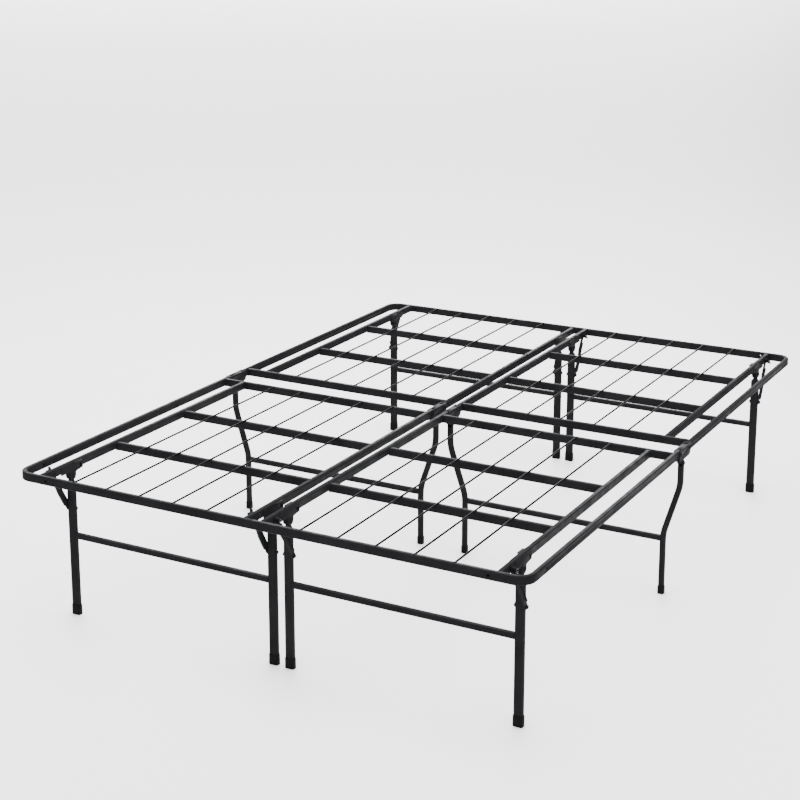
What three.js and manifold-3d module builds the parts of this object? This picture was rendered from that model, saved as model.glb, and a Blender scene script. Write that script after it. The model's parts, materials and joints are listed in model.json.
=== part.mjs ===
// A folding metal bed frame: two half-width units side by side, each folding in the middle of its length.
// Millimetres. +Z is up, +Y runs from the near end to the far end, +X to the right. The origin is on the
// floor under the middle of the bed. Every piece is made once, for the near right quarter (x > 0, y < 0),
// and the other three quarters are its mirror images.
import * as THREE from "three";
import { mergeVertices } from "three/addons/utils/BufferGeometryUtils.js";
import Module from "manifold-3d";

const wasm = await Module();
wasm.setup();

// ---- Driving dimensions ----
const FRAME_WIDTH = 1371.6;
const FRAME_LENGTH = 1905;
const DECK_HEIGHT = 406.4;
const GAP = 0.3; // between pieces that touch

const RAIL_WIDTH = 12;
const RAIL_HEIGHT = 21;
const RAIL_CORNER = 2.5;
const TUBE_WALL = 1.2;
const PLAN_CORNER = 34; // centre-line radius of the bed's rounded corners
const STRINGER_INSET = 72.6; // from the bed's side to the stringer's centre line
const CENTRE_OFFSET = 22.3; // from the bed's middle to each centre rail's centre line
const MID_BAR_OFFSET = 59; // from the fold to each mid bar's centre line
const SLAT_COUNT = 2;
const SLAT_STEP = 2.6; // of the slats' tops below the rails' tops

const WIRE_RADIUS = 2.4;
const WIRE_COUNT = 5;
const WIRE_MARGIN = 103.2; // from a stringer or a centre rail to the first wire
const WIRE_PROUD = 1.2; // of the rails' tops
const WIRE_LANDING = 7; // of each wire's end, let into the bar it ends on
const WIRE_SLOT_GAP = 0.4;

const LEG_FROM_END = 121; // from the bed's end to the end legs' centre plane
const LEG_WIDTH = 22;
const LEG_DEPTH = 13;
const LEG_CORNER = 3;
const LEG_TOP_WIDTH = 10.8; // squeezed to go between the saddle plates
const LEG_SQUEEZE_TOP = 14; // below the pivot, where the squeezed stretch ends
const LEG_SQUEEZE_END = 22; // below the pivot, where the leg has its full width
const LEG_HEAD = 5.5; // of the leg above its pivot
const PIVOT_DROP = 14.4; // from the rails' undersides to the end legs' pivots
const CROSSBAR_SIZE = 14;
const CROSSBAR_CORNER = 3;
const END_CROSSBAR_HEIGHT = 212.5;
const VENT_RADIUS = 2.5;

const MID_LEG_SIZE = 14;
const MID_LEG_CORNER = 3;
const MID_LEG_PLANE = -5; // the y of the mid legs' centre plane
const MID_FOOT_OUTER_INSET = 46.8; // from the bed's side to the outer mid foot
const MID_FOOT_INNER = 68.6; // from the bed's middle to the inner mid foot
const MID_KNEE_TOP = 302;
const MID_KNEE_BOTTOM = 166;
const MID_BEND_RADIUS = 110;
const MID_CROSSBAR_HEIGHT = 152.3;
const MID_PIVOT_DROP = 20.4; // from the rails' undersides to the mid legs' pivots
const MID_LEG_HEAD = 6; // of the mid leg above its pivot
const TONGUE_WIDTH = 10.6;
const TONGUE_DEPTH = 9.8;
const TONGUE_ROOT = 18; // of the tongue's arm, welded under the near rail's end
const TONGUE_ARM_DROP = 7.4; // of the arm below the rails' undersides
const TONGUE_SINK = 0.8; // of the arm's weld into the rail's underside
const TONGUE_CHAMFER_LENGTH = 4;
const TONGUE_CHAMFER_HEIGHT = 3;
const MID_SLOT_DROP = 3; // of the slot in the mid leg's head below the tongue's bolt lobe

const CAP_FLOOR = 3;
const CAP_WALL = 1.3;
const END_CAP_HEIGHT = 26;
const MID_CAP_HEIGHT = 21;

const PLATE = 2; // sheet thickness of saddles, links and struts
const BOLT_RADIUS = 3;
const BOLT_CLEARANCE = 0.35;
const BOLT_HEAD_RADIUS = 5;
const BOLT_HEAD_LENGTH = 3;
const MID_BOLT_RADIUS = 2.5;
const MID_BOLT_HEAD_RADIUS = 4.4;
const MID_BOLT_HEAD_LENGTH = 2.5;

const SADDLE_OUTWARD = 45; // reach of the saddle from the leg towards the bed's end
const SADDLE_INWARD = 38; // and towards the middle
const SADDLE_TOP_STEP = 2.4; // of the saddle's top edge below the rail's top
const SADDLE_SHOULDER = 3; // of the saddle's long edge below the rail's underside
const SADDLE_LOBE = 11; // radius of the plate round the leg's pivot
const SADDLE_FOLD_GAP = 1.2; // between the folded leg and the plates' lower edges
const SADDLE_WINDOW = 8;
const SADDLE_WINDOW_OFFSET = 29; // from the leg towards the middle
const SADDLE_WINDOW_LIFT = 2; // of the window's lower edge above the rails' undersides
const SADDLE_LIP_START = 2.5;
const SADDLE_LIP_LENGTH = 29;
const SADDLE_LIP_REACH = 4.5;

const STUD_FROM_LEG = 65.5; // from the leg's centre plane towards the bed's end
const STUD_REACH = 23; // of the strut's stud from the rail's centre line
const STUD_TAIL = 9.5; // of the stud on the rail's other side
const STRUT_BOLT_DROP = 86; // from the leg's pivot to the strut's bolt
const STRUT_WIDTH = 16;
const STRUT_FLANGE = 5.5;
const STRUT_FLANGE_THICKNESS = 1.6;
const STRUT_LOWER_EAR = 11; // of flat strut past the lower bolt
const STRUT_UPPER_EAR = 21; // and before the upper stud
const STRUT_LAP = 1; // of each flat ear into the strut's channel
const STRUT_JOG_START = 0.42; // shares of the strut's length
const STRUT_JOG_END = 0.62;
const NOTCH_CLEARANCE = 0.7; // of the strut's open hook round its stud
const NOTCH_FLARE = THREE.MathUtils.degToRad(6);
const NUT_RADIUS = 5;
const NUT_LENGTH = 4;
const BOLT_TIP = 1; // of the bolt past its nut

const WING_HUB_RADIUS = 6.5;
const WING_HUB_TOP_RADIUS = 5.2;
const WING_HUB_LENGTH = 9;
const WING_THICKNESS = 2.8;
const WING_SPAN = 14.5; // of a wing's tip from the stud's axis
const WING_RISE = 13.5; // of a wing's tip along the stud
const WING_TURN = THREE.MathUtils.degToRad(40);

const LINK_HALF_LENGTH = 42;
const LINK_PIVOT_OFFSET = 34; // from the fold to each pivot
const LINK_DROP = 9; // of the link's lower edge below the rails' undersides
const LINK_CUT = 12; // of the link's far lower corner
const LINK_CUT_KNEE = 0.3; // share of the cut where its edge turns
const RAIL_OVERHANG = 6; // of a rail past its link pivot
const LINK_COVER_GAP = 1.2; // between the link's cover and a rail folded upright

const JOINER_LENGTH = 90;
const JOINER_WALL = 1.5;
const JOINER_CORNER = 1.2;
const HEADBOARD_HOLE_RADIUS = 3.5;
const END_HOLE_INSET = 93.8; // from the bed's side to the hole in its end rail
const SIDE_HOLE_INSET = 92.5; // from the bed's end to the hole in its side rail

const CORNER_SHARE = 0.7; // of a section's corner radius, the size of the flat that stands for it
const RAIL_BEND_STEPS = 6;
const LEG_BEND_STEPS = 3;
const ROUND_SIDES = 8;
const WIRE_SIDES = 6;
const PLATE_CURVE_STEPS = 3;

// ---- Places worked out from the driving dimensions ----
const RAIL_BOTTOM = DECK_HEIGHT - RAIL_HEIGHT;
const RAIL_MIDDLE = DECK_HEIGHT - RAIL_HEIGHT / 2;
const SIDE_X = FRAME_WIDTH / 2 - RAIL_WIDTH / 2;
const STRINGER_X = FRAME_WIDTH / 2 - STRINGER_INSET;
const END_Y = -(FRAME_LENGTH / 2 - RAIL_WIDTH / 2);
const LEG_Y = -(FRAME_LENGTH / 2 - LEG_FROM_END);
const LEG_PIVOT_Z = RAIL_BOTTOM - PIVOT_DROP;
const MID_PIVOT_Z = RAIL_BOTTOM - MID_PIVOT_DROP;
const STRUT_BOLT_Z = LEG_PIVOT_Z - STRUT_BOLT_DROP;
const STUD_Y = LEG_Y - STUD_FROM_LEG;
const RAIL_END_Y = -(LINK_PIVOT_OFFSET - RAIL_OVERHANG);
const WIRE_Z = DECK_HEIGHT + WIRE_PROUD - WIRE_RADIUS;
const HALF_RAIL = RAIL_WIDTH / 2;
const NOTCH_RADIUS = BOLT_RADIUS + NOTCH_CLEARANCE;
const SEAT = 0.2; // a welded plate sinks this far into the tube it is on
const OVERCUT = 1; // a cutting tool runs this far past the surface it cuts

// ---- Solids ----
const solid = (geometry) => {
  const flat = geometry.index ? geometry.toNonIndexed() : geometry;
  const bare = new THREE.BufferGeometry();
  bare.setAttribute("position", flat.getAttribute("position"));
  const merged = mergeVertices(bare, 1e-4);
  const vertProperties = merged.getAttribute("position").array;
  const triVerts = new Uint32Array(merged.index.array);
  return new wasm.Manifold(new wasm.Mesh({ numProp: 3, vertProperties, triVerts }));
};

const geometryOf = (body) => {
  const { vertProperties, triVerts } = body.getMesh();
  const geometry = new THREE.BufferGeometry();
  geometry.setAttribute("position", new THREE.BufferAttribute(vertProperties, 3));
  geometry.setIndex(new THREE.BufferAttribute(triVerts, 1));
  const faceted = geometry.toNonIndexed();
  faceted.computeVertexNormals();
  return faceted;
};

const join = (...bodies) => bodies.reduce((whole, piece) => whole.add(piece));
const cut = (body, ...tools) => tools.reduce((rest, tool) => rest.subtract(tool), body);

const box = (x0, x1, y0, y1, z0, z1) => {
  const block = new THREE.BoxGeometry(x1 - x0, y1 - y0, z1 - z0);
  return solid(block.translate((x0 + x1) / 2, (y0 + y1) / 2, (z0 + z1) / 2));
};

// Round bars along each axis, from one coordinate to another.
const rodAlongX = (radius, x0, x1, y, z, sides = ROUND_SIDES) => {
  const bar = new THREE.CylinderGeometry(radius, radius, x1 - x0, sides);
  return solid(bar.rotateZ(Math.PI / 2).translate((x0 + x1) / 2, y, z));
};
const rodAlongY = (radius, y0, y1, x, z, sides = ROUND_SIDES) => {
  const bar = new THREE.CylinderGeometry(radius, radius, y1 - y0, sides);
  return solid(bar.translate(x, (y0 + y1) / 2, z));
};
const rodAlongZ = (radius, z0, z1, x, y, sides = ROUND_SIDES) => {
  const bar = new THREE.CylinderGeometry(radius, radius, z1 - z0, sides);
  return solid(bar.rotateX(Math.PI / 2).translate(x, y, (z0 + z1) / 2));
};

// A flat plate with its outline in the YZ plane, from x0 to x1.
const plate = (outline, x0, x1) => {
  const options = { depth: x1 - x0, bevelEnabled: false, curveSegments: PLATE_CURVE_STEPS };
  const sheet = new THREE.ExtrudeGeometry(outline, options);
  const turn = new THREE.Matrix4().makeBasis(
    new THREE.Vector3(0, 1, 0),
    new THREE.Vector3(0, 0, 1),
    new THREE.Vector3(1, 0, 0),
  );
  return solid(sheet.applyMatrix4(turn).translate(x0, 0, 0));
};

const polygon = (points) => new THREE.Shape(points.map(([y, z]) => new THREE.Vector2(y, z)));

// A rectangle whose corners are cut where a round of this radius starts and ends.
const roundedRectangle = (width, height, radius) => {
  const x = width / 2;
  const y = height / 2;
  const cut = radius * CORNER_SHARE;
  return polygon([
    [x, cut - y],
    [x, y - cut],
    [x - cut, y],
    [cut - x, y],
    [-x, y - cut],
    [-x, cut - y],
    [cut - x, -y],
    [x - cut, -y],
  ]);
};

const tubeSection = (width, height, radius, wall = TUBE_WALL) => {
  const section = roundedRectangle(width, height, radius);
  const x = width / 2 - wall;
  const y = height / 2 - wall;
  const bore = [[x, y], [x, -y], [-x, -y], [-x, y]].map(([u, v]) => new THREE.Vector2(u, v));
  section.holes.push(new THREE.Path([...bore, bore[0]]));
  return section;
};

// A section carried along a run of points that lies in one plane. The section's y axis stays on `up`, the
// plane's normal, and its x axis turns with the run, mitred at each point. `widthAt` scales it in x.
const sweep = (section, run, up, widthAt = () => 1) => {
  const last = run.length - 1;
  const options = { depth: last, steps: last, bevelEnabled: false };
  const bar = new THREE.ExtrudeGeometry(section, options);
  const legs = run.slice(1).map((point, i) => point.clone().sub(run[i]).normalize());
  const sides = run.map((point, i) => {
    const before = legs[Math.max(i - 1, 0)];
    const along = before.clone().add(legs[Math.min(i, last - 1)]).normalize();
    const mitre = 1 / along.dot(before);
    return up.clone().cross(along).multiplyScalar(mitre * widthAt(point));
  });
  const position = bar.getAttribute("position");
  for (let i = 0; i < position.count; i++) {
    const station = Math.round(position.getZ(i));
    const place = run[station].clone();
    place.addScaledVector(sides[station], position.getX(i));
    place.addScaledVector(up, position.getY(i));
    position.setXYZ(i, place.x, place.y, place.z);
  }
  return solid(bar);
};

// The points of a run with a round bend of one radius at each inner corner.
const bentRun = (corners, radius, steps) => {
  const run = [corners[0]];
  corners.slice(1, -1).forEach((corner, i) => {
    const before = corner.clone().sub(corners[i]).normalize();
    const after = corners[i + 2].clone().sub(corner).normalize();
    const turn = Math.atan2(before.cross(after), before.dot(after));
    const start = corner.clone().addScaledVector(before, -radius * Math.tan(Math.abs(turn) / 2));
    const left = new THREE.Vector2(-before.y, before.x).multiplyScalar(Math.sign(turn));
    const centre = start.clone().addScaledVector(left, radius);
    for (let step = 0; step <= steps; step++)
      run.push(start.clone().rotateAround(centre, (turn * step) / steps));
  });
  run.push(corners.at(-1));
  return run;
};

const UP = new THREE.Vector3(0, 0, 1);
const ACROSS = new THREE.Vector3(0, 1, 0);
const at = (x, y, z) => new THREE.Vector3(x, y, z);
const inPlan = (points, z) => points.map((p) => at(p.x, p.y, z));
const inElevation = (points, y) => points.map((p) => at(p.x, y, p.y));

const RAIL_SECTION = tubeSection(RAIL_WIDTH, RAIL_HEIGHT, RAIL_CORNER);
const railAlongY = (x, y0, y1) => sweep(RAIL_SECTION, [at(x, y0, RAIL_MIDDLE), at(x, y1, RAIL_MIDDLE)], UP);
const railAlongX = (y, x0, x1, z) => sweep(RAIL_SECTION, [at(x0, y, z), at(x1, y, z)], UP);

// ---- Deck pieces ----
const WIRE_FIRST = CENTRE_OFFSET + WIRE_MARGIN;
const WIRE_PITCH = (STRINGER_X - WIRE_MARGIN - WIRE_FIRST) / (WIRE_COUNT - 1);
const wirePlaces = Array.from({ length: WIRE_COUNT }, (_, i) => WIRE_FIRST + i * WIRE_PITCH);

// Open slots across the top of a bar, where the wires' ends lie.
const wireSlots = (y0, y1) => {
  const half = WIRE_RADIUS + WIRE_SLOT_GAP;
  return wirePlaces.map((x) => box(x - half, x + half, y0, y1, WIRE_Z - half, DECK_HEIGHT + OVERCUT));
};

// The tongue that a mid leg turns on hangs from the near rail's end, inside the link.
const tongue = (x) => {
  const half = TONGUE_DEPTH / 2;
  const front = MID_LEG_PLANE + half;
  const root = RAIL_END_Y - TONGUE_ROOT;
  const armTop = RAIL_BOTTOM + TONGUE_SINK;
  const armBottom = RAIL_BOTTOM - TONGUE_ARM_DROP;
  const outline = new THREE.Shape();
  outline.moveTo(root, armTop);
  outline.lineTo(root, armBottom + TONGUE_CHAMFER_HEIGHT);
  outline.lineTo(root + TONGUE_CHAMFER_LENGTH, armBottom);
  outline.lineTo(MID_LEG_PLANE - half, armBottom);
  outline.lineTo(MID_LEG_PLANE - half, MID_PIVOT_Z);
  outline.absarc(MID_LEG_PLANE, MID_PIVOT_Z, half, Math.PI, 2 * Math.PI);
  outline.lineTo(front, armTop);
  outline.closePath();
  const radius = MID_BOLT_RADIUS + BOLT_CLEARANCE;
  const hole = rodAlongX(radius, x - RAIL_WIDTH, x + RAIL_WIDTH, MID_LEG_PLANE, MID_PIVOT_Z);
  return cut(plate(outline, x - TONGUE_WIDTH / 2, x + TONGUE_WIDTH / 2), hole);
};

// The hole for a link's bolt, and the tongue on the rails that carry a mid leg.
const hingeEnd = (rail, x, carriesMidLeg) => {
  const radius = BOLT_RADIUS + BOLT_CLEARANCE;
  const hole = rodAlongX(radius, x - RAIL_WIDTH, x + RAIL_WIDTH, -LINK_PIVOT_OFFSET, RAIL_MIDDLE);
  const drilled = cut(rail, hole);
  return carriesMidLeg ? join(drilled, tongue(x)) : drilled;
};

const outerRail = (carriesMidLeg) => {
  const corners = [
    new THREE.Vector2(GAP / 2, END_Y),
    new THREE.Vector2(SIDE_X, END_Y),
    new THREE.Vector2(SIDE_X, RAIL_END_Y),
  ];
  const rail = sweep(RAIL_SECTION, inPlan(bentRun(corners, PLAN_CORNER, RAIL_BEND_STEPS), RAIL_MIDDLE), UP);
  const endHole = FRAME_WIDTH / 2 - END_HOLE_INSET;
  const sideHole = -(FRAME_LENGTH / 2 - SIDE_HOLE_INSET);
  const drilled = cut(
    rail,
    rodAlongY(HEADBOARD_HOLE_RADIUS, END_Y - RAIL_WIDTH, END_Y + RAIL_WIDTH, endHole, RAIL_MIDDLE),
    rodAlongX(HEADBOARD_HOLE_RADIUS, SIDE_X - RAIL_WIDTH, SIDE_X + RAIL_WIDTH, sideHole, RAIL_MIDDLE),
    ...wireSlots(END_Y + HALF_RAIL - WIRE_LANDING - WIRE_SLOT_GAP, END_Y + RAIL_WIDTH),
  );
  return hingeEnd(drilled, SIDE_X, carriesMidLeg);
};

// Two plates that straddle a rail and hold a leg's pivot bolt, the web that joins them under the rail, on
// the side away from the fold, and the stud for the leg's strut.
const saddle = (x) => {
  const top = DECK_HEIGHT - SADDLE_TOP_STEP;
  const shoulder = RAIL_BOTTOM - SADDLE_SHOULDER;
  const outline = new THREE.Shape();
  outline.moveTo(LEG_Y - SADDLE_OUTWARD, top);
  outline.lineTo(LEG_Y - SADDLE_OUTWARD, shoulder);
  outline.lineTo(LEG_Y - SADDLE_LOBE, shoulder);
  outline.lineTo(LEG_Y - SADDLE_LOBE, LEG_PIVOT_Z);
  outline.absarc(LEG_Y, LEG_PIVOT_Z, SADDLE_LOBE, Math.PI, 2 * Math.PI);
  outline.lineTo(LEG_Y + SADDLE_LOBE + GAP, LEG_PIVOT_Z + LEG_DEPTH / 2 + SADDLE_FOLD_GAP);
  outline.lineTo(LEG_Y + SADDLE_INWARD, shoulder);
  outline.lineTo(LEG_Y + SADDLE_INWARD, top);
  outline.closePath();
  const inner = HALF_RAIL - SEAT;
  const outer = inner + PLATE;
  const head = outer + BOLT_HEAD_LENGTH;
  const lipStart = LEG_Y + SADDLE_LIP_START;
  const web = LEG_Y - SADDLE_LOBE;
  return join(
    box(x - outer, x + outer, web, web + PLATE, LEG_PIVOT_Z, RAIL_BOTTOM + SEAT),
    plate(outline, x - outer, x - inner),
    plate(outline, x + inner, x + outer),
    rodAlongX(BOLT_RADIUS, x - outer, x + outer, LEG_Y, LEG_PIVOT_Z),
    rodAlongX(BOLT_HEAD_RADIUS, x - head, x - outer + SEAT, LEG_Y, LEG_PIVOT_Z, 6),
    rodAlongX(BOLT_HEAD_RADIUS, x + outer - SEAT, x + head, LEG_Y, LEG_PIVOT_Z, 6),
    rodAlongX(BOLT_RADIUS, x - STUD_TAIL, x + STUD_REACH, STUD_Y, RAIL_MIDDLE),
    box(x - outer - SADDLE_LIP_REACH, x - inner, lipStart, lipStart + SADDLE_LIP_LENGTH, top - PLATE, top),
  );
};

const legRail = (x, y1) => {
  const y0 = LEG_Y + SADDLE_WINDOW_OFFSET - SADDLE_WINDOW / 2;
  const z0 = RAIL_BOTTOM + SADDLE_WINDOW_LIFT;
  return cut(
    join(railAlongY(x, END_Y + HALF_RAIL + GAP, y1), saddle(x)),
    box(x - RAIL_WIDTH, x + RAIL_WIDTH, y0, y0 + SADDLE_WINDOW, z0, z0 + SADDLE_WINDOW),
  );
};

const stringer = () => legRail(STRINGER_X, -(MID_BAR_OFFSET + HALF_RAIL + GAP));
const centreRail = (carriesMidLeg) =>
  hingeEnd(legRail(CENTRE_OFFSET, RAIL_END_Y), CENTRE_OFFSET, carriesMidLeg);

const midBar = () => {
  const from = CENTRE_OFFSET + HALF_RAIL + GAP;
  const bar = railAlongX(-MID_BAR_OFFSET, from, SIDE_X - HALF_RAIL - GAP, RAIL_MIDDLE);
  const face = -(MID_BAR_OFFSET + HALF_RAIL);
  return cut(bar, ...wireSlots(face - OVERCUT, face + WIRE_LANDING + WIRE_SLOT_GAP));
};

const wirePanel = () => {
  const pitch = (END_Y + MID_BAR_OFFSET) / (SLAT_COUNT + 1);
  const from = CENTRE_OFFSET + HALF_RAIL + GAP;
  const to = STRINGER_X - HALF_RAIL - GAP;
  const slats = Array.from({ length: SLAT_COUNT }, (_, i) =>
    railAlongX(-MID_BAR_OFFSET + (i + 1) * pitch, from, to, RAIL_MIDDLE - SLAT_STEP),
  );
  const y0 = END_Y + HALF_RAIL - WIRE_LANDING;
  const y1 = -(MID_BAR_OFFSET + HALF_RAIL) + WIRE_LANDING;
  const wires = wirePlaces.map((x) => rodAlongY(WIRE_RADIUS, y0, y1, x, WIRE_Z, WIRE_SIDES));
  return join(...slats, ...wires);
};

// ---- End legs ----
const crossbar = (x0, x1, y, z) => {
  const section = tubeSection(CROSSBAR_SIZE, CROSSBAR_SIZE, CROSSBAR_CORNER);
  const bar = sweep(section, [at(x0, y, z), at(x1, y, z)], UP);
  return cut(bar, rodAlongZ(VENT_RADIUS, z - CROSSBAR_SIZE, z, x1 - 2 * CROSSBAR_SIZE, y));
};

const endLeg = (x) => {
  const heights = [
    LEG_PIVOT_Z + LEG_HEAD,
    LEG_PIVOT_Z - LEG_SQUEEZE_TOP,
    LEG_PIVOT_Z - LEG_SQUEEZE_END,
    CAP_FLOOR + GAP,
  ];
  const run = heights.map((z) => at(x, LEG_Y, z));
  const squeezeMiddle = LEG_PIVOT_Z - (LEG_SQUEEZE_TOP + LEG_SQUEEZE_END) / 2;
  const squeezed = (point) => (point.z < squeezeMiddle ? 1 : LEG_TOP_WIDTH / LEG_WIDTH);
  const tube = sweep(tubeSection(LEG_WIDTH, LEG_DEPTH, LEG_CORNER), run, ACROSS, squeezed);
  const reach = LEG_WIDTH / 2;
  const nut = x + reach + GAP + PLATE + GAP;
  const hole = rodAlongX(BOLT_RADIUS + BOLT_CLEARANCE, x - reach, x + reach, LEG_Y, LEG_PIVOT_Z);
  return join(
    cut(tube, hole),
    rodAlongX(BOLT_RADIUS, x - reach, nut + NUT_LENGTH + BOLT_TIP, LEG_Y, STRUT_BOLT_Z),
    rodAlongX(BOLT_HEAD_RADIUS, x - reach - BOLT_HEAD_LENGTH, x - reach + SEAT, LEG_Y, STRUT_BOLT_Z, 6),
    rodAlongX(NUT_RADIUS, nut, nut + NUT_LENGTH, LEG_Y, STRUT_BOLT_Z, 6),
  );
};

const endLegFrame = () => {
  const wall = LEG_WIDTH / 2 - TUBE_WALL / 2;
  return join(
    endLeg(CENTRE_OFFSET),
    endLeg(STRINGER_X),
    crossbar(CENTRE_OFFSET + wall, STRINGER_X - wall, LEG_Y, END_CROSSBAR_HEIGHT),
  );
};

const footCap = (width, depth, corner, height) => {
  const wall = CAP_WALL + GAP;
  const outside = roundedRectangle(width + 2 * wall, depth + 2 * wall, corner + wall);
  const inside = roundedRectangle(width + 2 * GAP, depth + 2 * GAP, corner + GAP);
  const shell = sweep(outside, [at(0, 0, 0), at(0, 0, height)], ACROSS);
  return cut(shell, sweep(inside, [at(0, 0, CAP_FLOOR), at(0, 0, height + OVERCUT)], ACROSS));
};

// ---- Struts, in their own frame: the lower bolt at the origin, the upper stud up the z axis ----
const STRUT_LENGTH = Math.hypot(STUD_FROM_LEG, RAIL_MIDDLE - STRUT_BOLT_Z);
const STRUT_LEAN = Math.atan2(STUD_FROM_LEG, RAIL_MIDDLE - STRUT_BOLT_Z);

const strut = () => {
  const half = STRUT_WIDTH / 2;
  const lower = LEG_WIDTH / 2 + GAP;
  const upper = HALF_RAIL - SEAT + PLATE + GAP;
  const inset = half - STRUT_FLANGE_THICKNESS;
  const channel = polygon([
    [0, -half],
    [STRUT_FLANGE, -half],
    [STRUT_FLANGE, -inset],
    [PLATE, -inset],
    [PLATE, inset],
    [STRUT_FLANGE, inset],
    [STRUT_FLANGE, half],
    [0, half],
  ]);
  const run = [
    at(lower, 0, STRUT_LOWER_EAR),
    at(lower, 0, STRUT_LENGTH * STRUT_JOG_START),
    at(upper, 0, STRUT_LENGTH * STRUT_JOG_END),
    at(upper, 0, STRUT_LENGTH - STRUT_UPPER_EAR),
  ];
  const lowerEar = new THREE.Shape();
  lowerEar.moveTo(half, STRUT_LOWER_EAR + STRUT_LAP);
  lowerEar.lineTo(-half, STRUT_LOWER_EAR + STRUT_LAP);
  lowerEar.absarc(0, 0, half, Math.PI, 2 * Math.PI);
  lowerEar.closePath();
  const upperEar = new THREE.Shape();
  upperEar.moveTo(-half, STRUT_LENGTH - STRUT_UPPER_EAR - STRUT_LAP);
  upperEar.lineTo(half, STRUT_LENGTH - STRUT_UPPER_EAR - STRUT_LAP);
  upperEar.absarc(0, STRUT_LENGTH, half, 0, Math.PI);
  upperEar.closePath();
  // The upper ear hooks on the stud. Its mouth opens from the way the stud leaves when the strut swings on
  // its bolt, along +y, round to the way it leaves when the leg folds on its pivot.
  const folding = Math.atan2(STUD_FROM_LEG, RAIL_MIDDLE - LEG_PIVOT_Z) - STRUT_LEAN;
  const low = -NOTCH_FLARE;
  const high = folding + NOTCH_FLARE;
  const corner = (angle, side, reach) => [
    NOTCH_RADIUS * Math.cos(angle + side) + reach * Math.cos(angle),
    STRUT_LENGTH + NOTCH_RADIUS * Math.sin(angle + side) + reach * Math.sin(angle),
  ];
  const mouth = new THREE.Shape();
  mouth.absarc(0, STRUT_LENGTH, NOTCH_RADIUS, high + Math.PI / 2, low + 1.5 * Math.PI);
  mouth.lineTo(...corner(low, -Math.PI / 2, STRUT_WIDTH));
  mouth.lineTo(...corner(high, Math.PI / 2, STRUT_WIDTH));
  mouth.closePath();
  return cut(
    join(
      sweep(channel, run, ACROSS),
      plate(lowerEar, lower, lower + PLATE),
      plate(upperEar, upper, upper + PLATE),
    ),
    rodAlongX(BOLT_RADIUS + BOLT_CLEARANCE, lower - OVERCUT, lower + PLATE + OVERCUT, 0, 0),
    plate(mouth, upper - OVERCUT, upper + PLATE + OVERCUT),
  );
};

// A wing nut on its stud's axis, with its seat at the origin and its wings along y.
const wingNut = () => {
  const profile = [
    new THREE.Vector2(0, 0),
    new THREE.Vector2(WING_HUB_RADIUS, 0),
    new THREE.Vector2(WING_HUB_TOP_RADIUS, WING_HUB_LENGTH),
    new THREE.Vector2(0, WING_HUB_LENGTH),
  ];
  const hub = solid(new THREE.LatheGeometry(profile, ROUND_SIDES).rotateZ(-Math.PI / 2));
  // One wing: out along its lower edge, round its tip, and back to the hub's top, in shares of its size.
  const wing = new THREE.Shape();
  wing.moveTo(2, 1);
  wing.quadraticCurveTo(WING_SPAN * 0.75, 1.5, WING_SPAN, WING_RISE * 0.55);
  wing.quadraticCurveTo(WING_SPAN * 1.05, WING_RISE, WING_SPAN * 0.8, WING_RISE);
  wing.quadraticCurveTo(WING_SPAN * 0.6, WING_RISE * 0.7, 2, WING_HUB_LENGTH - 1);
  wing.closePath();
  const options = { depth: WING_THICKNESS, bevelEnabled: false, curveSegments: PLATE_CURVE_STEPS };
  const blade = new THREE.ExtrudeGeometry(wing, options).translate(0, 0, -WING_THICKNESS / 2);
  // The outline's radial and axial directions become y and x.
  const axes = [1, -1].map((way) => {
    const radial = new THREE.Vector3(0, way, 0);
    return new THREE.Matrix4().makeBasis(radial, new THREE.Vector3(1, 0, 0), new THREE.Vector3(0, 0, -way));
  });
  const wings = axes.map((turn) => solid(blade.clone().applyMatrix4(turn)));
  const bore = rodAlongX(BOLT_RADIUS + GAP, -OVERCUT, WING_RISE + OVERCUT, 0, 0);
  return cut(join(hub, ...wings), bore);
};

// ---- Mid legs ----
const midLeg = (topX, footX) => {
  const corners = [
    new THREE.Vector2(topX, MID_PIVOT_Z + MID_LEG_HEAD),
    new THREE.Vector2(topX, MID_KNEE_TOP),
    new THREE.Vector2(footX, MID_KNEE_BOTTOM),
    new THREE.Vector2(footX, CAP_FLOOR + GAP),
  ];
  const half = MID_LEG_SIZE / 2;
  const inside = half - TUBE_WALL;
  const run = inElevation(bentRun(corners, MID_BEND_RADIUS, LEG_BEND_STEPS), MID_LEG_PLANE);
  const tube = sweep(tubeSection(MID_LEG_SIZE, MID_LEG_SIZE, MID_LEG_CORNER), run, ACROSS);
  const near = MID_LEG_PLANE - half;
  // The near wall is cut away at the top, so that the leg can turn on the tongue inside it.
  const z0 = MID_PIVOT_Z - TONGUE_DEPTH / 2 - MID_SLOT_DROP;
  const z1 = MID_PIVOT_Z + MID_LEG_SIZE;
  const slot = box(topX - inside, topX + inside, near - OVERCUT, near + 2 * TUBE_WALL, z0, z1);
  const head = half + MID_BOLT_HEAD_LENGTH;
  return join(
    cut(tube, slot),
    rodAlongX(MID_BOLT_RADIUS, topX - half, topX + half, MID_LEG_PLANE, MID_PIVOT_Z),
    rodAlongX(MID_BOLT_HEAD_RADIUS, topX - head, topX - half + SEAT, MID_LEG_PLANE, MID_PIVOT_Z, 6),
    rodAlongX(MID_BOLT_HEAD_RADIUS, topX + half - SEAT, topX + head, MID_LEG_PLANE, MID_PIVOT_Z, 6),
  );
};

const MID_FOOT_OUTER = FRAME_WIDTH / 2 - MID_FOOT_OUTER_INSET;

const midLegFrame = () => {
  const wall = MID_LEG_SIZE / 2 - TUBE_WALL / 2;
  return join(
    midLeg(SIDE_X, MID_FOOT_OUTER),
    midLeg(CENTRE_OFFSET, MID_FOOT_INNER),
    crossbar(MID_FOOT_INNER + wall, MID_FOOT_OUTER - wall, MID_LEG_PLANE, MID_CROSSBAR_HEIGHT),
  );
};

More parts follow.
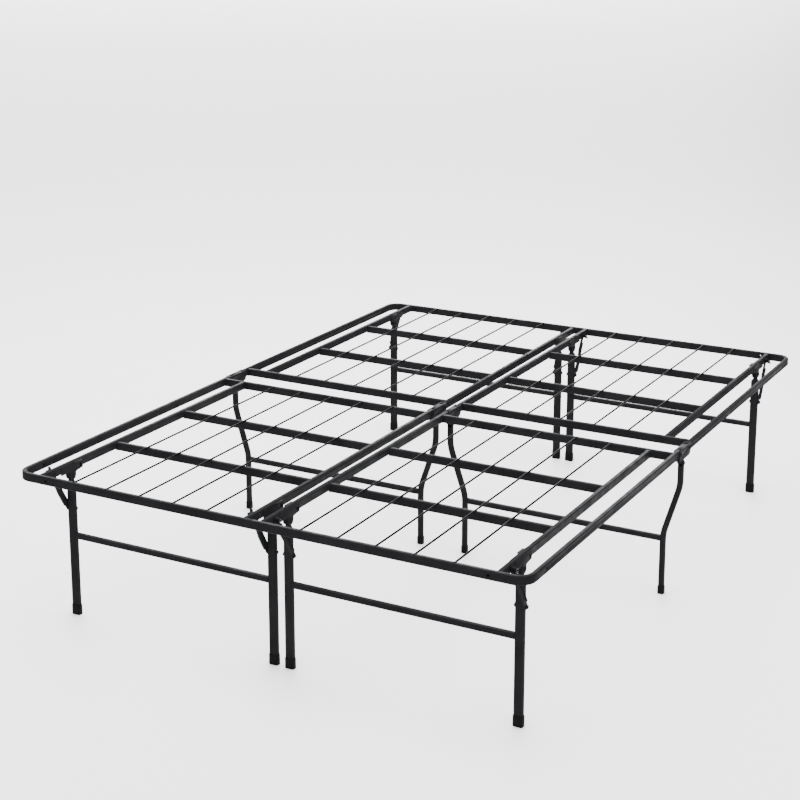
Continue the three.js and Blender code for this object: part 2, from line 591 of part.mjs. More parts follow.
// ---- Links of the fold: an inverted channel over the two rail ends, with a bolt through each ----
const link = () => {
  const inner = HALF_RAIL + GAP;
  const outer = inner + PLATE;
  const bottom = RAIL_BOTTOM - LINK_DROP;
  const knee = LINK_CUT * LINK_CUT_KNEE;
  const side = polygon([
    [-LINK_HALF_LENGTH, bottom],
    [LINK_HALF_LENGTH - LINK_CUT, bottom],
    [LINK_HALF_LENGTH - knee, bottom + knee],
    [LINK_HALF_LENGTH, bottom + LINK_CUT],
    [LINK_HALF_LENGTH, DECK_HEIGHT],
    [-LINK_HALF_LENGTH, DECK_HEIGHT],
  ]);
  const cover = LINK_PIVOT_OFFSET - RAIL_HEIGHT / 2 - LINK_COVER_GAP;
  const head = outer + BOLT_HEAD_LENGTH;
  const bolts = [-LINK_PIVOT_OFFSET, LINK_PIVOT_OFFSET].map((y) =>
    join(
      rodAlongX(BOLT_RADIUS, -outer, outer, y, RAIL_MIDDLE),
      rodAlongX(BOLT_HEAD_RADIUS, -head, SEAT - outer, y, RAIL_MIDDLE, 6),
      rodAlongX(BOLT_HEAD_RADIUS, outer - SEAT, head, y, RAIL_MIDDLE, 6),
    ),
  );
  return join(
    plate(side, -outer, -inner),
    plate(side, inner, outer),
    box(-outer, outer, -cover, cover, DECK_HEIGHT - PLATE, DECK_HEIGHT),
    ...bolts,
  );
};

// The sleeve inside the end rails, which holds the two units together.
const joiner = () => {
  const clearance = 2 * (TUBE_WALL + GAP);
  const section = tubeSection(RAIL_WIDTH - clearance, RAIL_HEIGHT - clearance, JOINER_CORNER, JOINER_WALL);
  const half = JOINER_LENGTH / 2;
  return sweep(section, [at(-half, END_Y, RAIL_MIDDLE), at(half, END_Y, RAIL_MIDDLE)], UP);
};

// ---- Materials ----
const powderCoat = new THREE.MeshStandardMaterial({ color: 0x2b2b2d, roughness: 0.48, metalness: 0.2 });
const legCoat = new THREE.MeshStandardMaterial({ color: 0x232325, roughness: 0.5, metalness: 0.2 });
const wireCoat = new THREE.MeshStandardMaterial({ color: 0x3a3a3c, roughness: 0.4, metalness: 0.4 });
const plastic = new THREE.MeshStandardMaterial({ color: 0x161617, roughness: 0.6, metalness: 0 });

// ---- Assembly ----
const placed = (name, geometry, material, x = 0, y = 0, z = 0, turnX = 0) => {
  const mesh = new THREE.Mesh(geometry, material);
  mesh.name = name;
  mesh.position.set(x, y, z);
  mesh.rotation.x = turnX;
  return mesh;
};

const shape = {
  stringer: geometryOf(stringer()),
  midBar: geometryOf(midBar()),
  wirePanel: geometryOf(wirePanel()),
  legFrame: geometryOf(endLegFrame()),
  footCap: geometryOf(footCap(LEG_WIDTH, LEG_DEPTH, LEG_CORNER, END_CAP_HEIGHT)),
  strut: geometryOf(strut()),
  wingNut: geometryOf(wingNut()),
  link: geometryOf(link()),
  midLegFrame: geometryOf(midLegFrame()),
  midCap: geometryOf(footCap(MID_LEG_SIZE, MID_LEG_SIZE, MID_LEG_CORNER, MID_CAP_HEIGHT)),
  joiner: geometryOf(joiner()),
};
const railShape = {
  near: { outer: geometryOf(outerRail(true)), centre: geometryOf(centreRail(true)) },
  far: { outer: geometryOf(outerRail(false)), centre: geometryOf(centreRail(false)) },
};

const SIDES = { left: -1, right: 1 };
const ENDS = { near: 1, far: -1 };
const nutSeat = HALF_RAIL - SEAT + PLATE + GAP + PLATE + GAP;

const quarter = (end, side) => {
  const name = (piece) => `${end}_${side}_${piece}`;
  const group = new THREE.Group();
  group.scale.set(SIDES[side], ENDS[end], 1);
  group.add(
    placed(name("outer_rail"), railShape[end].outer, powderCoat),
    placed(name("centre_rail"), railShape[end].centre, powderCoat),
    placed(name("stringer"), shape.stringer, powderCoat),
    placed(name("mid_bar"), shape.midBar, powderCoat),
    placed(name("wire_panel"), shape.wirePanel, wireCoat),
    placed(name("leg_frame"), shape.legFrame, legCoat),
  );
  for (const [place, x] of Object.entries({ outer: STRINGER_X, centre: CENTRE_OFFSET }))
    group.add(
      placed(name(`${place}_foot_cap`), shape.footCap, plastic, x, LEG_Y),
      placed(name(`${place}_strut`), shape.strut, powderCoat, x, LEG_Y, STRUT_BOLT_Z, STRUT_LEAN),
      placed(name(`${place}_wing_nut`), shape.wingNut, plastic, x + nutSeat, STUD_Y, RAIL_MIDDLE, WING_TURN),
    );
  return group;
};

const middle = (side) => {
  const group = new THREE.Group();
  group.scale.x = SIDES[side];
  group.add(
    placed(`${side}_outer_link`, shape.link, powderCoat, SIDE_X),
    placed(`${side}_centre_link`, shape.link, powderCoat, CENTRE_OFFSET),
    placed(`${side}_mid_leg_frame`, shape.midLegFrame, legCoat),
    placed(`${side}_outer_mid_foot_cap`, shape.midCap, plastic, MID_FOOT_OUTER, MID_LEG_PLANE),
    placed(`${side}_centre_mid_foot_cap`, shape.midCap, plastic, MID_FOOT_INNER, MID_LEG_PLANE),
  );
  return group;
};

const bedFrame = new THREE.Group();
for (const end of Object.keys(ENDS)) {
  for (const side of Object.keys(SIDES)) bedFrame.add(quarter(end, side));
  const sleeve = placed(`${end}_end_joiner`, shape.joiner, powderCoat);
  sleeve.scale.y = ENDS[end];
  bedFrame.add(sleeve);
}
for (const side of Object.keys(SIDES)) bedFrame.add(middle(side));

export default bedFrame;
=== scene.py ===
"""Finishes a folding metal bed frame: coated tubes, wires, welds, fasteners, foot caps and a plain studio."""

import json
import math

import bmesh
import bpy
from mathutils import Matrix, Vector


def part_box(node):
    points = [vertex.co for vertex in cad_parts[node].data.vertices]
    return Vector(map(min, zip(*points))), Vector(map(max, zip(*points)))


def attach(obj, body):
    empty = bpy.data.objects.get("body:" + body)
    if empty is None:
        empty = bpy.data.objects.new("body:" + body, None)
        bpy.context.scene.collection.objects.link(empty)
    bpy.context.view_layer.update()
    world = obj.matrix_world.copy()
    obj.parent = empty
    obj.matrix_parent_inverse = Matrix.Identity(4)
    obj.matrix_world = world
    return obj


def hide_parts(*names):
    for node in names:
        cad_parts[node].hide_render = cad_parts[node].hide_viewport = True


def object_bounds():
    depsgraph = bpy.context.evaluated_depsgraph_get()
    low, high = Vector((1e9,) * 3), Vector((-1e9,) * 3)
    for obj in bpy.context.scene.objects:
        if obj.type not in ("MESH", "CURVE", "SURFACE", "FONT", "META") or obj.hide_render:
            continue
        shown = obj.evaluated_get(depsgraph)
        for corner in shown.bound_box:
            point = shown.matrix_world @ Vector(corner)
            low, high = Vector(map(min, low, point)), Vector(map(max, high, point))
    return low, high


bl_info = {
    "name": "Folding Bed Frame",
    "version": (1, 0, 0),
    "blender": (4, 5, 0),
    "location": "View3D > Sidebar > Bed Frame",
    "description": "Builds the finished pieces of a folding metal bed frame round its packed model",
    "category": "Object",
}

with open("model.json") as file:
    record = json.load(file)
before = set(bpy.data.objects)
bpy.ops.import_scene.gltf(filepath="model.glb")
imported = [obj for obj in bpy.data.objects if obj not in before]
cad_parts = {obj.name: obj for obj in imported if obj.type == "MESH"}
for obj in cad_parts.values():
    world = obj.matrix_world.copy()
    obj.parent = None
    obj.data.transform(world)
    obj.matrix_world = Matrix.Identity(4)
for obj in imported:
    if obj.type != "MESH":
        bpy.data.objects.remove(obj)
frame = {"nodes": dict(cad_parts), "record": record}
CAD_LOW, CAD_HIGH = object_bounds()

MM = 0.001
ENDS = {"near": -1, "far": 1}
SIDES = {"left": -1, "right": 1}
PLACES = ("outer", "centre")
QUARTERS = [f"{end}_{side}" for end in ENDS for side in SIDES]
BODY_OF = {node: body for body, nodes in frame["record"]["behaviour"]["bodies"].items() for node in nodes}
JOINTS = {joint["name"]: joint for joint in frame["record"]["behaviour"]["joints"]}

# Sizes of the tubes, read from the solids.
BAR_LOW, BAR_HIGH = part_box("near_right_mid_bar")
RAIL_WIDTH = BAR_HIGH[1] - BAR_LOW[1]
RAIL_HEIGHT = BAR_HIGH[2] - BAR_LOW[2]
RAIL_MIDDLE = (BAR_HIGH[2] + BAR_LOW[2]) / 2
RAIL_BOTTOM = BAR_LOW[2]
HALF_RAIL = RAIL_WIDTH / 2
PANEL_LOW, PANEL_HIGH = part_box("near_right_wire_panel")
SLAT_DROP = RAIL_BOTTOM - PANEL_LOW[2]
SLAT_MIDDLE = RAIL_MIDDLE - SLAT_DROP
MID_BAR_Y = -(BAR_HIGH[1] + BAR_LOW[1]) / 2
END_RAIL_Y = CAD_HIGH[1] - HALF_RAIL

# Sizes that only the finish has.
SLAT_CORNER = 2.2 * MM
WIRE_MARGIN = 103.2 * MM  # from a rail's centre line to the wire beside it
WIRE_CORNER = 0.99  # of a wire's radius, so that its section is nearly a circle
CAP_ROUND = 0.9 * MM
NUT_ROUND = 0.7 * MM
THREAD_START = 4.3 * MM  # inside a wing nut's outer end
THREAD_RADIUS = 2.75 * MM
THREAD_CREST = 0.42 * MM
THREAD_TURNS = 4
FLOOR_HALF = 30.0

# How a solid is cleaned and rounded.
MERGE_DISTANCE = 0.004 * MM
FLAT_ANGLE = math.radians(0.4)
ROUNDED_ANGLE = math.radians(28)
SHARP_ANGLE = math.radians(38)


def middle(node):
    """The centre of a node's box."""
    low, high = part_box(node)
    return (Vector(low) + Vector(high)) / 2


def leg_x(place):
    """The x of a leg's centre line in the right unit."""
    return middle(f"near_right_{place}_foot_cap").x


# ---------------------------------------------------------------- properties


class BedFrameSizes(bpy.types.PropertyGroup):
    """Sizes of the finish that a user may change."""

    edge_round: bpy.props.FloatProperty(
        name="Edge Round",
        description="Radius of the sheet metal's and tubes' edges",
        default=0.55 * MM,
        min=0.1 * MM,
        max=1.2 * MM,
        unit="LENGTH",
    )
    wire_count: bpy.props.IntProperty(
        name="Wires", description="Wires on each quarter of the deck", default=5, min=2, max=12
    )
    wire_diameter: bpy.props.FloatProperty(
        name="Wire Diameter",
        description="Diameter of the deck's wires",
        default=4.8 * MM,
        min=2.0 * MM,
        max=6.0 * MM,
        unit="LENGTH",
    )
    slat_count: bpy.props.IntProperty(
        name="Slats", description="Slats on each quarter of the deck", default=2, min=1, max=5
    )
    weld_radius: bpy.props.FloatProperty(
        name="Weld Radius",
        description="Radius of the weld beads",
        default=1.25 * MM,
        min=0.5 * MM,
        max=3.0 * MM,
        unit="LENGTH",
    )
    weld_pitch: bpy.props.FloatProperty(
        name="Weld Pitch",
        description="Spacing of the ripples along a weld bead",
        default=1.5 * MM,
        min=0.5 * MM,
        max=4.0 * MM,
        unit="LENGTH",
    )
    thread_pitch: bpy.props.FloatProperty(
        name="Thread Pitch",
        description="Spacing of the thread on the strut studs",
        default=1.0 * MM,
        min=0.5 * MM,
        max=2.0 * MM,
        unit="LENGTH",
    )


class BedFrameColours(bpy.types.PropertyGroup):
    """Colours of the finish that a user may change."""

    coat: bpy.props.FloatVectorProperty(
        name="Powder Coat",
        description="Colour of the coated steel",
        subtype="COLOR",
        default=(0.008, 0.008, 0.0088),
    )
    wire: bpy.props.FloatVectorProperty(
        name="Wire Coat",
        description="Colour of the coated wires",
        subtype="COLOR",
        default=(0.003, 0.003, 0.0033),
    )
    plastic: bpy.props.FloatVectorProperty(
        name="Plastic",
        description="Colour of the foot caps and wing nuts",
        subtype="COLOR",
        default=(0.0035, 0.0035, 0.0038),
    )
    steel: bpy.props.FloatVectorProperty(
        name="Fasteners",
        description="Colour of the blackened fasteners",
        subtype="COLOR",
        default=(0.05, 0.05, 0.053),
    )
    floor: bpy.props.FloatVectorProperty(
        name="Floor",
        description="Colour of the floor",
        subtype="COLOR",
        default=(0.86, 0.86, 0.865),
    )


def sizes():
    """The sizes that the scene holds now."""
    return bpy.context.scene.bed_frame_sizes


def colours():
    """The colours that the scene holds now."""
    return bpy.context.scene.bed_frame_colours


def slat_pitch():
    """The spacing of the slats between the mid bar and the end rail."""
    return (END_RAIL_Y - MID_BAR_Y) / (sizes().slat_count + 1)


# ---------------------------------------------------------------- materials


def shader_nodes(name):
    """A new material's tree, its shader and its object coordinates."""
    material = bpy.data.materials.new(name)
    material.use_nodes = True
    tree = material.node_tree
    shader = tree.nodes["Principled BSDF"]
    place = tree.nodes.new("ShaderNodeTexCoord").outputs["Object"]
    return material, tree, shader, place


def noise(tree, place, scale, detail, roughness=0.5):
    """The value of a noise texture."""
    node = tree.nodes.new("ShaderNodeTexNoise")
    node.inputs["Scale"].default_value = scale
    node.inputs["Detail"].default_value = detail
    node.inputs["Roughness"].default_value = roughness
    tree.links.new(place, node.inputs["Vector"])
    return node.outputs["Fac"]


def ramp(tree, value, low, high, colour_low, colour_high):
    """A colour that goes from one to another while a value goes from low to high."""
    node = tree.nodes.new("ShaderNodeValToRGB")
    first, last = node.color_ramp.elements
    first.position, last.position = low, high
    first.color, last.color = (*colour_low, 1), (*colour_high, 1)
    tree.links.new(value, node.inputs["Fac"])
    return node.outputs["Color"]


def bump(tree, height, distance, strength, after=None):
    """The normal of a bumped surface, on top of another bump when one is given."""
    node = tree.nodes.new("ShaderNodeBump")
    node.inputs["Distance"].default_value = distance
    node.inputs["Strength"].default_value = strength
    tree.links.new(height, node.inputs["Height"])
    if after is not None:
        tree.links.new(after, node.inputs["Normal"])
    return node.outputs["Normal"]


def lighter(colour, amount):
    return tuple(min(1.0, channel * amount) for channel in colour)


def powder_coat(title):
    """Baked powder coat: orange peel, small pits, and roughness that wanders along the tubes."""
    colour = tuple(colours().coat)
    material, tree, shader, place = shader_nodes(title)
    mottle = noise(tree, place, 14, 4, 0.6)
    tint = ramp(tree, mottle, 0.3, 0.72, lighter(colour, 0.8), lighter(colour, 1.35))
    specks = noise(tree, place, 520, 1)
    mix = tree.nodes.new("ShaderNodeMix")
    mix.data_type = "RGBA"
    fleck = ramp(tree, specks, 0.66, 0.74, (0, 0, 0), (1, 1, 1))
    tree.links.new(fleck, mix.inputs["Factor"])
    tree.links.new(tint, mix.inputs["A"])
    mix.inputs["B"].default_value = (*lighter(colour, 2.2), 1)
    tree.links.new(mix.outputs["Result"], shader.inputs["Base Color"])
    wander = noise(tree, place, 34, 3)
    rough = ramp(tree, wander, 0.3, 0.7, (0.4,) * 3, (0.55,) * 3)
    tree.links.new(rough, shader.inputs["Roughness"])
    peel = bump(tree, noise(tree, place, 650, 2), 0.12 * MM, 0.35)
    tree.links.new(bump(tree, noise(tree, place, 2600, 1), 0.03 * MM, 0.25, peel), shader.inputs["Normal"])
    shader.inputs["Specular IOR Level"].default_value = 0.009
    return material


def wire_coat(title):
    """Thin coat on drawn wire: fine lines along the wire's length and a slightly brighter sheen."""
    material, tree, shader, place = shader_nodes(title)
    stretch = tree.nodes.new("ShaderNodeMapping")
    stretch.inputs["Scale"].default_value = (1, 0.04, 1)
    tree.links.new(place, stretch.inputs["Vector"])
    drawn = noise(tree, stretch.outputs["Vector"], 1400, 2)
    colour = tuple(colours().wire)
    tint = ramp(tree, drawn, 0.3, 0.7, lighter(colour, 0.8), lighter(colour, 1.3))
    tree.links.new(tint, shader.inputs["Base Color"])
    rough = ramp(tree, noise(tree, place, 60, 2), 0.3, 0.7, (0.3,) * 3, (0.42,) * 3)
    tree.links.new(rough, shader.inputs["Roughness"])
    tree.links.new(bump(tree, drawn, 0.05 * MM, 0.3), shader.inputs["Normal"])
    shader.inputs["Specular IOR Level"].default_value = 0.01
    return material


def moulded_plastic(title):
    """Moulded plastic with a spark-eroded grain and faint scuffs."""
    material, tree, shader, place = shader_nodes(title)
    colour = tuple(colours().plastic)
    scuff = noise(tree, place, 90, 5, 0.7)
    tint = ramp(tree, scuff, 0.45, 0.8, colour, lighter(colour, 1.8))
    tree.links.new(tint, shader.inputs["Base Color"])
    rough = ramp(tree, scuff, 0.35, 0.75, (0.5,) * 3, (0.66,) * 3)
    tree.links.new(rough, shader.inputs["Roughness"])
    cells = tree.nodes.new("ShaderNodeTexVoronoi")
    cells.inputs["Scale"].default_value = 1500
    tree.links.new(place, cells.inputs["Vector"])
    tree.links.new(bump(tree, cells.outputs["Distance"], 0.05 * MM, 0.4), shader.inputs["Normal"])
    shader.inputs["Specular IOR Level"].default_value = 0.03
    return material


def blackened_steel(title):
    """Blackened zinc fasteners: metallic, with a stain that darkens and lightens at random, and turning
    marks.
    """
    material, tree, shader, place = shader_nodes(title)
    colour = tuple(colours().steel)
    stain = noise(tree, place, 240, 4, 0.65)
    tint = ramp(tree, stain, 0.35, 0.7, lighter(colour, 0.55), lighter(colour, 1.9))
    tree.links.new(tint, shader.inputs["Base Color"])
    rough = ramp(tree, stain, 0.3, 0.7, (0.28,) * 3, (0.48,) * 3)
    tree.links.new(rough, shader.inputs["Roughness"])
    tree.links.new(bump(tree, noise(tree, place, 1900, 2), 0.04 * MM, 0.3), shader.inputs["Normal"])
    shader.inputs["Metallic"].default_value = 0.8
    return material


def studio_floor(title):
    """A matt painted floor with a barely visible mottle."""
    material, tree, shader, place = shader_nodes(title)
    colour = tuple(colours().floor)
    mottle = noise(tree, place, 1.5, 3)
    tint = ramp(tree, mottle, 0.2, 0.8, lighter(colour, 0.985), colour)
    tree.links.new(tint, shader.inputs["Base Color"])
    tree.links.new(bump(tree, noise(tree, place, 60, 3), 0.2 * MM, 0.05), shader.inputs["Normal"])
    shader.inputs["Roughness"].default_value = 0.55
    shader.inputs["Specular IOR Level"].default_value = 0.3
    return material


FINISHES = {
    "powder_coat": powder_coat,
    "wire_coat": wire_coat,
    "moulded_plastic": moulded_plastic,
    "blackened_steel": blackened_steel,
    "studio_floor": studio_floor,
}


def finish(name):
    """The named material, made the first time it is asked for."""
    title = f"{name}_finish"
    return bpy.data.materials.get(title) or FINISHES[name](title)


# ---------------------------------------------------------------- meshes and pieces


def add_piece(name, mesh, body, replaces=()):
    """Links a finished mesh as a piece that rides on a body."""
    piece = bpy.data.objects.new(name, mesh)
    bpy.context.scene.collection.objects.link(piece)
    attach(piece, body)
    if replaces:
        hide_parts(*replaces)
    return piece


def plain_mesh(holder):
    """What a holder's modifiers make of it, as a plain mesh. The holder is removed."""
    graph = bpy.context.evaluated_depsgraph_get()
    made = holder.evaluated_get(graph)
    mesh = bpy.data.meshes.new_from_object(made, preserve_all_data_layers=True, depsgraph=graph)
    source = holder.data
    bpy.data.objects.remove(holder)
    bpy.data.meshes.remove(source)
    return mesh


def holder_for(mesh):
    """A passing object that carries a mesh and its modifiers."""
    holder = bpy.data.objects.new("holder", mesh)
    bpy.context.scene.collection.objects.link(holder)
    return holder


def rounded_copy(node, material, radius, segments=2):
    """A copy of a node's solid with its flats joined and its edges rounded."""
    mesh = frame["nodes"][node].data.copy()
    shape = bmesh.new()
    shape.from_mesh(mesh)
    bmesh.ops.remove_doubles(shape, verts=shape.verts, dist=MERGE_DISTANCE)
    bmesh.ops.dissolve_limit(shape, angle_limit=FLAT_ANGLE, verts=shape.verts, edges=shape.edges)
    shape.to_mesh(mesh)
    shape.free()
    mesh.materials.clear()
    mesh.materials.append(material)
    holder = holder_for(mesh)
    bevel = holder.modifiers.new("edges", "BEVEL")
    bevel.width = radius
    bevel.segments = segments
    bevel.limit_method = "ANGLE"
    bevel.angle_limit = ROUNDED_ANGLE
    bevel.use_clamp_overlap = True
    bevel.miter_outer = "MITER_ARC"
    finished = plain_mesh(holder)
    for face in finished.polygons:
        face.use_smooth = True
    finished.set_sharp_from_angle(angle=SHARP_ANGLE)
    return finished


def finish_nodes(nodes, material, radius, segments=2):
    """Gives each node a rounded and coated piece in its place."""
    for node in nodes:
        mesh = rounded_copy(node, finish(material), radius, segments)
        add_piece(f"{node}_finished", mesh, BODY_OF[node], (node,))


# ---------------------------------------------------------------- geometry nodes


class Tree:
    """A Geometry Nodes tree under construction, with named inputs."""

    def __init__(self, name, inputs):
        self.group = bpy.data.node_groups.new(name, "GeometryNodeTree")
        self.group.interface.new_socket("Geometry", in_out="INPUT", socket_type="NodeSocketGeometry")
        for label, (kind, value) in inputs.items():
            kind_of_socket = f"NodeSocket{kind}"
            socket = self.group.interface.new_socket(label, in_out="INPUT", socket_type=kind_of_socket)
            if value is not None:
                socket.default_value = value
        self.group.interface.new_socket("Geometry", in_out="OUTPUT", socket_type="NodeSocketGeometry")
        self.given = self.group.nodes.new("NodeGroupInput").outputs

    def add(self, kind, links=None, **settings):
        """Adds a node. `links` names input sockets and what feeds them: an output, or a plain value."""
        node = self.group.nodes.new(kind)
        for key, value in settings.items():
            setattr(node, key, value)
        for key, source in (links or {}).items():
            socket = node.inputs[key]
            for feed in source if isinstance(source, list) else [source]:
                if isinstance(feed, bpy.types.NodeSocket):
                    self.group.links.new(feed, socket)
                else:
                    socket.default_value = feed
        return node

    def end(self, geometry):
        """Realizes the instances, sets the material and closes the tree."""
        real = self.add("GeometryNodeRealizeInstances", {"Geometry": geometry})
        smooth = self.add("GeometryNodeSetShadeSmooth", {"Geometry": real.outputs[0]})
        painted = self.add(
            "GeometryNodeSetMaterial", {"Geometry": smooth.outputs[0], "Material": self.given["Material"]}
        )
        out = self.group.nodes.new("NodeGroupOutput")
        self.group.links.new(painted.outputs[0], out.inputs["Geometry"])
        return self.group


def repeated_bars_tree():
    """Bars of one rounded section, repeated at a pitch: slats, wires."""
    tree = Tree(
        "repeated_bars",
        {
            "Start": ("Vector", (0, 0, 0)),
            "End": ("Vector", (1, 0, 0)),
            "Width": ("Float", 0.01),
            "Height": ("Float", 0.01),
            "Corner": ("Float", 0.002),
            "Corner Steps": ("Int", 3),
            "Count": ("Int", 2),
            "Pitch": ("Vector", (0, 0.1, 0)),
            "Material": ("Material", None),
        },
    )
    given = tree.given
    line = tree.add("GeometryNodeCurvePrimitiveLine", {"Start": given["Start"], "End": given["End"]})
    section = tree.add(
        "GeometryNodeCurvePrimitiveQuadrilateral", {"Width": given["Width"], "Height": given["Height"]}
    )
    rounded = tree.add(
        "GeometryNodeFilletCurve",
        {
            "Curve": section.outputs[0],
            "Radius": given["Corner"],
            "Count": given["Corner Steps"],
            "Limit Radius": True,
        },
        mode="POLY",
    )
    bar = tree.add(
        "GeometryNodeCurveToMesh",
        {"Curve": line.outputs[0], "Profile Curve": rounded.outputs[0], "Fill Caps": True},
    )
    places = tree.add("GeometryNodeMeshLine", {"Count": given["Count"], "Offset": given["Pitch"]})
    copies = tree.add(
        "GeometryNodeInstanceOnPoints", {"Points": places.outputs[0], "Instance": bar.outputs[0]}
    )
    return tree.end(copies.outputs[0])


def weld_beads_tree():
    """Rippled beads along the edges of the mesh that it is given."""
    tree = Tree(
        "weld_beads",
        {
            "Radius": ("Float", 0.001),
            "Pitch": ("Float", 0.002),
            "Seed": ("Int", 7),
            "Material": ("Material", None),
        },
    )
    given = tree.given
    paths = tree.add("GeometryNodeMeshToCurve", {"Mesh": given["Geometry"]})
    steps = tree.add(
        "GeometryNodeResampleCurve", {"Curve": paths.outputs[0], "Length": given["Pitch"]}, mode="LENGTH"
    )
    ripple = tree.add("GeometryNodeMeshIcoSphere", {"Radius": given["Radius"], "Subdivisions": 1})
    vary = tree.add(
        "FunctionNodeRandomValue",
        {0: (0.8, 0.8, 0.8), 1: (1.2, 1.2, 1.2), "Seed": given["Seed"]},
        data_type="FLOAT_VECTOR",
    )
    beads = tree.add(
        "GeometryNodeInstanceOnPoints",
        {"Points": steps.outputs[0], "Instance": ripple.outputs[0], "Scale": vary.outputs[0]},
    )
    return tree.end(beads.outputs[0])


def thread_tree():
    """The crests of a thread, along x from each point of the mesh that it is given."""
    tree = Tree(
        "stud_thread",
        {
            "Radius": ("Float", 0.003),
            "Crest": ("Float", 0.0003),
            "Pitch": ("Float", 0.001),
            "Count": ("Int", 6),
            "Way": ("Float", 1.0),
            "Material": ("Material", None),
        },
    )
    given = tree.given
    ring = tree.add(
        "GeometryNodeCurvePrimitiveCircle", {"Resolution": 16, "Radius": given["Radius"]}, mode="RADIUS"
    )
    upright = tree.add(
        "GeometryNodeTransform", {"Geometry": ring.outputs[0], "Rotation": (0, math.pi / 2, 0)}
    )
    crest = tree.add(
        "GeometryNodeCurvePrimitiveCircle", {"Resolution": 6, "Radius": given["Crest"]}, mode="RADIUS"
    )
    turn = tree.add(
        "GeometryNodeCurveToMesh", {"Curve": upright.outputs[0], "Profile Curve": crest.outputs[0]}
    )
    step = tree.add("ShaderNodeMath", {0: given["Pitch"], 1: given["Way"]}, operation="MULTIPLY")
    offset = tree.add("ShaderNodeCombineXYZ", {"X": step.outputs[0]})
    row = tree.add("GeometryNodeMeshLine", {"Count": given["Count"], "Offset": offset.outputs[0]})
    turns = tree.add(
        "GeometryNodeInstanceOnPoints", {"Points": row.outputs[0], "Instance": turn.outputs[0]}
    )
    studs = tree.add(
        "GeometryNodeInstanceOnPoints", {"Points": given["Geometry"], "Instance": turns.outputs[0]}
    )
    return tree.end(studs.outputs[0])


def grown(tree, inputs, material, base=None):
    """The plain mesh that a tree makes, with its inputs set by their labels."""
    mesh = base or bpy.data.meshes.new("seed")
    holder = holder_for(mesh)
    modifier = holder.modifiers.new("grow", "NODES")
    modifier.node_group = tree
    values = {**inputs, "Material": finish(material)}
    for item in tree.interface.items_tree:
        if item.item_type == "SOCKET" and item.in_out == "INPUT" and item.name in values:
            modifier[item.identifier] = values[item.name]
    holder.update_tag()
    return plain_mesh(holder)


def tree_named(name, make):
    """The named tree, made the first time it is asked for."""
    return bpy.data.node_groups.get(name) or make()


def path_mesh(paths):
    """A mesh of open edge paths."""
    points = [point for path in paths for point in path]
    edges = []
    first = 0
    for path in paths:
        edges += [(first + i, first + i + 1) for i in range(len(path) - 1)]
        first += len(path)
    mesh = bpy.data.meshes.new("paths")
    mesh.from_pydata(points, edges, [])
    return mesh


def point_mesh(places):
    """A mesh of loose points."""
    mesh = bpy.data.meshes.new("points")
    mesh.from_pydata(places, [], [])
    return mesh


# ---------------------------------------------------------------- operators


class BEDFRAME_OT_rails(bpy.types.Operator):
    """Coat the rails, stringers, bars and joiners of the deck"""

    bl_idname = "bedframe.rails"
    bl_label = "Rails"

    def execute(self, context):
        kinds = ("outer_rail", "centre_rail", "stringer", "mid_bar")
        nodes = [f"{quarter}_{kind}" for quarter in QUARTERS for kind in kinds]
        nodes += [f"{end}_end_joiner" for end in ENDS]
        finish_nodes(nodes, "powder_coat", sizes().edge_round)
        return {"FINISHED"}


class BEDFRAME_OT_wire_panels(bpy.types.Operator):
    """Make the slats and the wires of each quarter of the deck"""

    bl_idname = "bedframe.wire_panels"
    bl_label = "Wire Panels"

    def execute(self, context):
        bars = tree_named("repeated_bars", repeated_bars_tree)
        count = sizes().wire_count
        radius = sizes().wire_diameter / 2
        wire_z = PANEL_HIGH[2] - radius
        first = leg_x("centre") + WIRE_MARGIN
        wire_pitch = (leg_x("outer") - WIRE_MARGIN - first) / (count - 1)
        for end, way in ENDS.items():
            for side, hand in SIDES.items():
                panel = f"{end}_{side}_wire_panel"
                low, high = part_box(panel)
                slat_y = way * (MID_BAR_Y + slat_pitch())
                slats = grown(
                    bars,
                    {
                        "Start": (low[0], slat_y, SLAT_MIDDLE),
                        "End": (high[0], slat_y, SLAT_MIDDLE),
                        "Width": RAIL_WIDTH,
                        "Height": RAIL_HEIGHT,
                        "Corner": SLAT_CORNER,
                        "Corner Steps": 4,
                        "Count": sizes().slat_count,
                        "Pitch": (0, way * slat_pitch(), 0),
                    },
                    "powder_coat",
                )
                add_piece(f"{end}_{side}_slats", slats, BODY_OF[panel], (panel,))
                wires = grown(
                    bars,
                    {
                        "Start": (hand * first, low[1], wire_z),
                        "End": (hand * first, high[1], wire_z),
                        "Width": 2 * radius,
                        "Height": 2 * radius,
                        "Corner": radius * WIRE_CORNER,
                        "Corner Steps": 4,
                        "Count": count,
                        "Pitch": (hand * wire_pitch, 0, 0),
                    },
                    "wire_coat",
                )
                add_piece(f"{end}_{side}_wires", wires, BODY_OF[panel])
        return {"FINISHED"}


class BEDFRAME_OT_legs(bpy.types.Operator):
    """Coat the leg frames, the struts and the fold's links"""

    bl_idname = "bedframe.legs"
    bl_label = "Legs and Links"

    def execute(self, context):
        nodes = [f"{quarter}_leg_frame" for quarter in QUARTERS]
        nodes += [f"{side}_mid_leg_frame" for side in SIDES]
        nodes += [f"{quarter}_{place}_strut" for quarter in QUARTERS for place in PLACES]
        nodes += [f"{side}_{place}_link" for side in SIDES for place in PLACES]
        finish_nodes(nodes, "powder_coat", sizes().edge_round)
        return {"FINISHED"}


